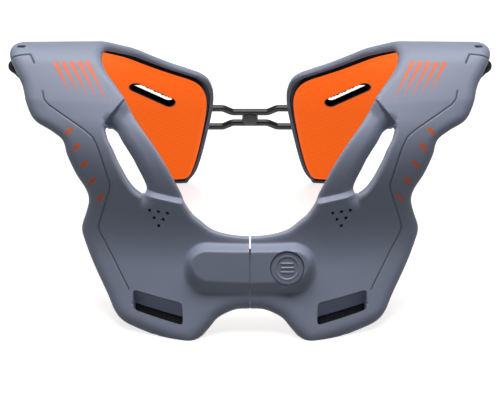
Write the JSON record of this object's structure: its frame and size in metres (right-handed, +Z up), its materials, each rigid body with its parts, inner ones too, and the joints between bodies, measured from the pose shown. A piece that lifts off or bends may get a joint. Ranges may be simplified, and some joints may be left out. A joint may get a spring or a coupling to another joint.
{
  "type": "motocross neck brace",
  "caption": "Two moulded shell halves that arch over the shoulders, with rear pads, a chest latch and a forked rear connector.",
  "frame": {"origin": "centre of the footprint box, on the floor that the four feet stand on", "axes": "+X across the shoulders towards the release button, chest towards -Y, +Z up"},
  "size_m": [0.3668, 0.2524, 0.171],
  "materials": {
    "shell_nylon": "fine moulded matt, blue-grey",
    "button_nylon": "moulded satin, blue-grey",
    "black_nylon": "moulded satin, black",
    "orange_pad": "moulded foam with a fine knurled face",
    "black_foam": "knit-covered foam",
    "screw_steel": "black oxide"
  },
  "bodies": {
    "frame": {"shell_right": "shell_nylon", "shell_left": "shell_nylon", "latch_tongue": "black_nylon", "rear_connector": "black_nylon", "rear_pad_right": "orange_pad", "rear_pad_left": "orange_pad", "chest_pad_right": "black_foam", "chest_pad_left": "black_foam", "shoulder_pad_right": "black_foam", "shoulder_pad_left": "black_foam", "connector_screw_upper_right": "screw_steel", "connector_screw_upper_left": "screw_steel", "connector_screw_lower_right": "screw_steel", "connector_screw_lower_left": "screw_steel"},
    "button": {"release_button": "button_nylon"}
  },
  "joints": [
    {"name": "release_press", "type": "slide", "parent": "frame", "child": "button", "axis": [0, 0.8581, -0.5135], "range_m": [0, 0.0025], "stiffness_N_per_m": 1500}
  ]
}
